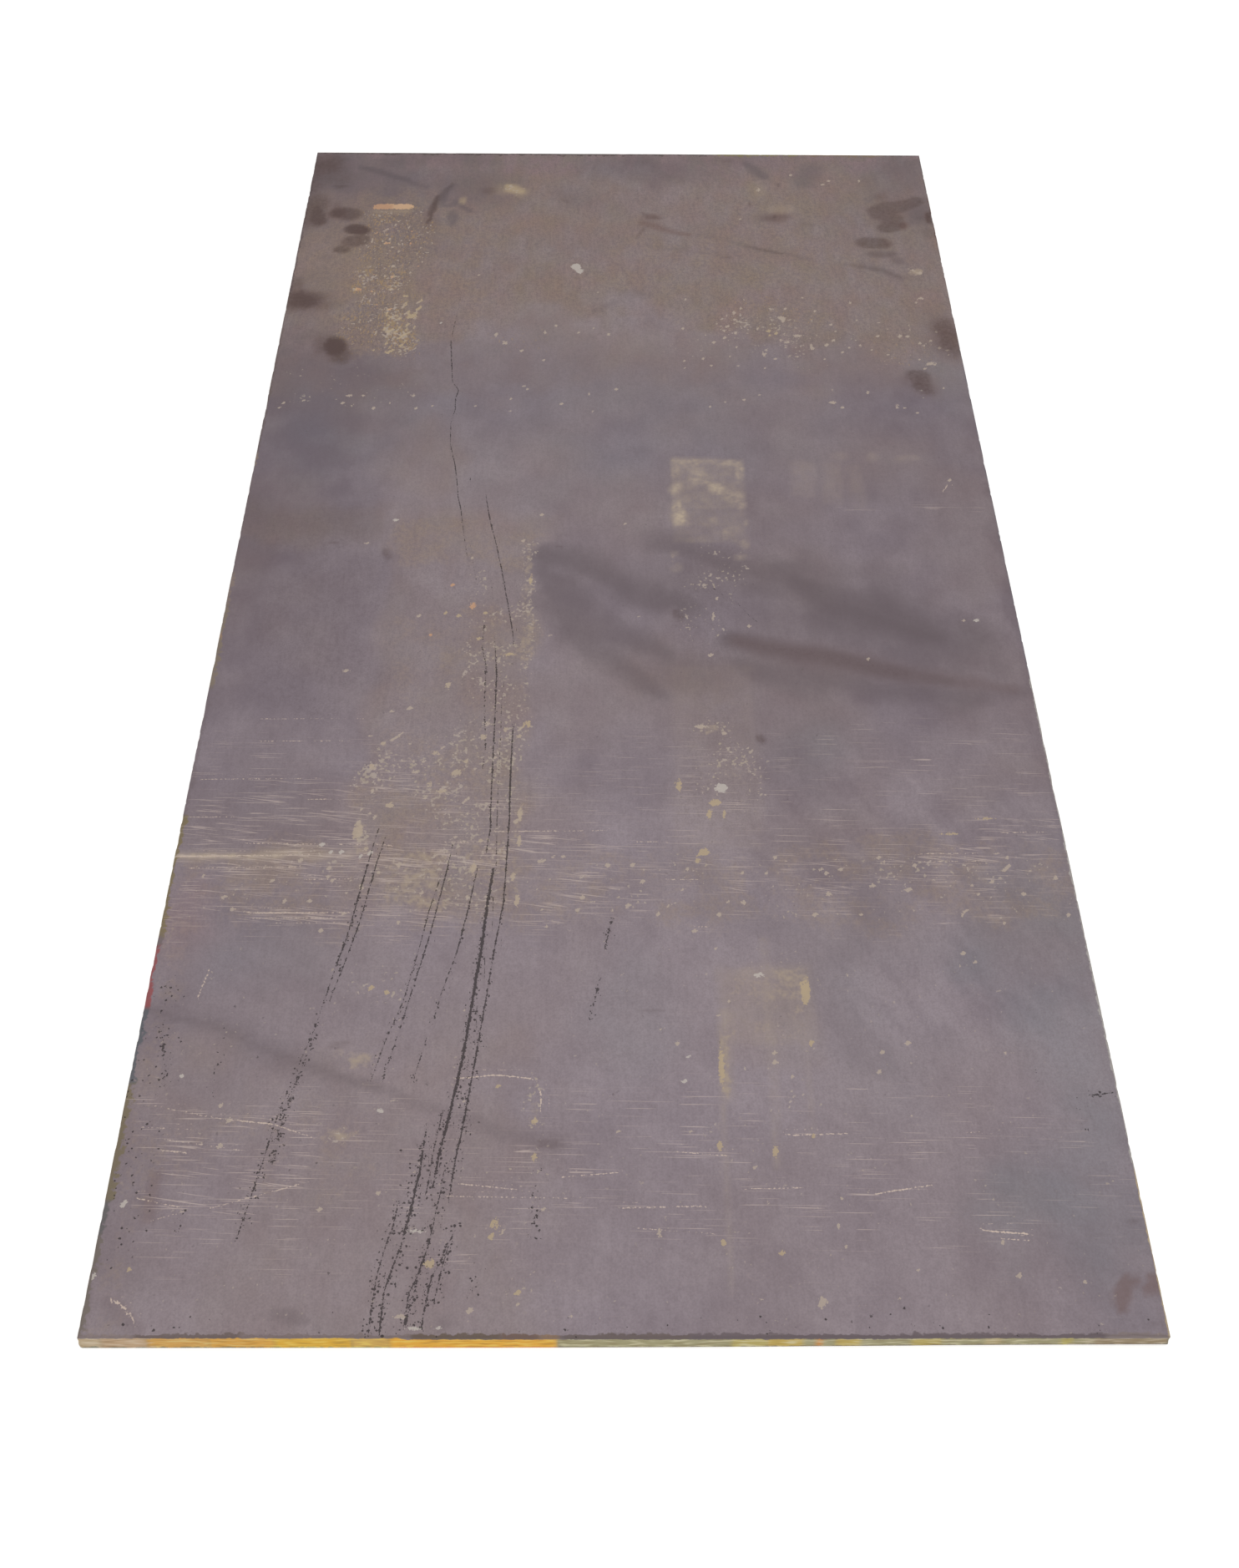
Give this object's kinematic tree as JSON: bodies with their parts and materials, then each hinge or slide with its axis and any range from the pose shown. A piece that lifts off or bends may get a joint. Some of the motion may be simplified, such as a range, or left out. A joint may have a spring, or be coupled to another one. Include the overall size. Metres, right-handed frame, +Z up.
{
  "type": "steel plate",
  "caption": "Flat rectangular hot-rolled steel plate with sheared edges, raw stock for cutting, welding and machining or for laying as a base or cover plate.",
  "frame": {"origin": "on the floor under the middle of the plate", "axes": "+Z up through the plate's thickness, +Y along its length, which is the rolling direction, and +X across its width"},
  "size_m": [1, 2, 0.02],
  "materials": {
    "mill_scale_steel": "matt mauve-grey mill scale with rust, oil marks and scrapes; sheared edges rusted amber and olive"
  },
  "bodies": {
    "root": {"plate": "mill_scale_steel"}
  },
  "joints": []
}
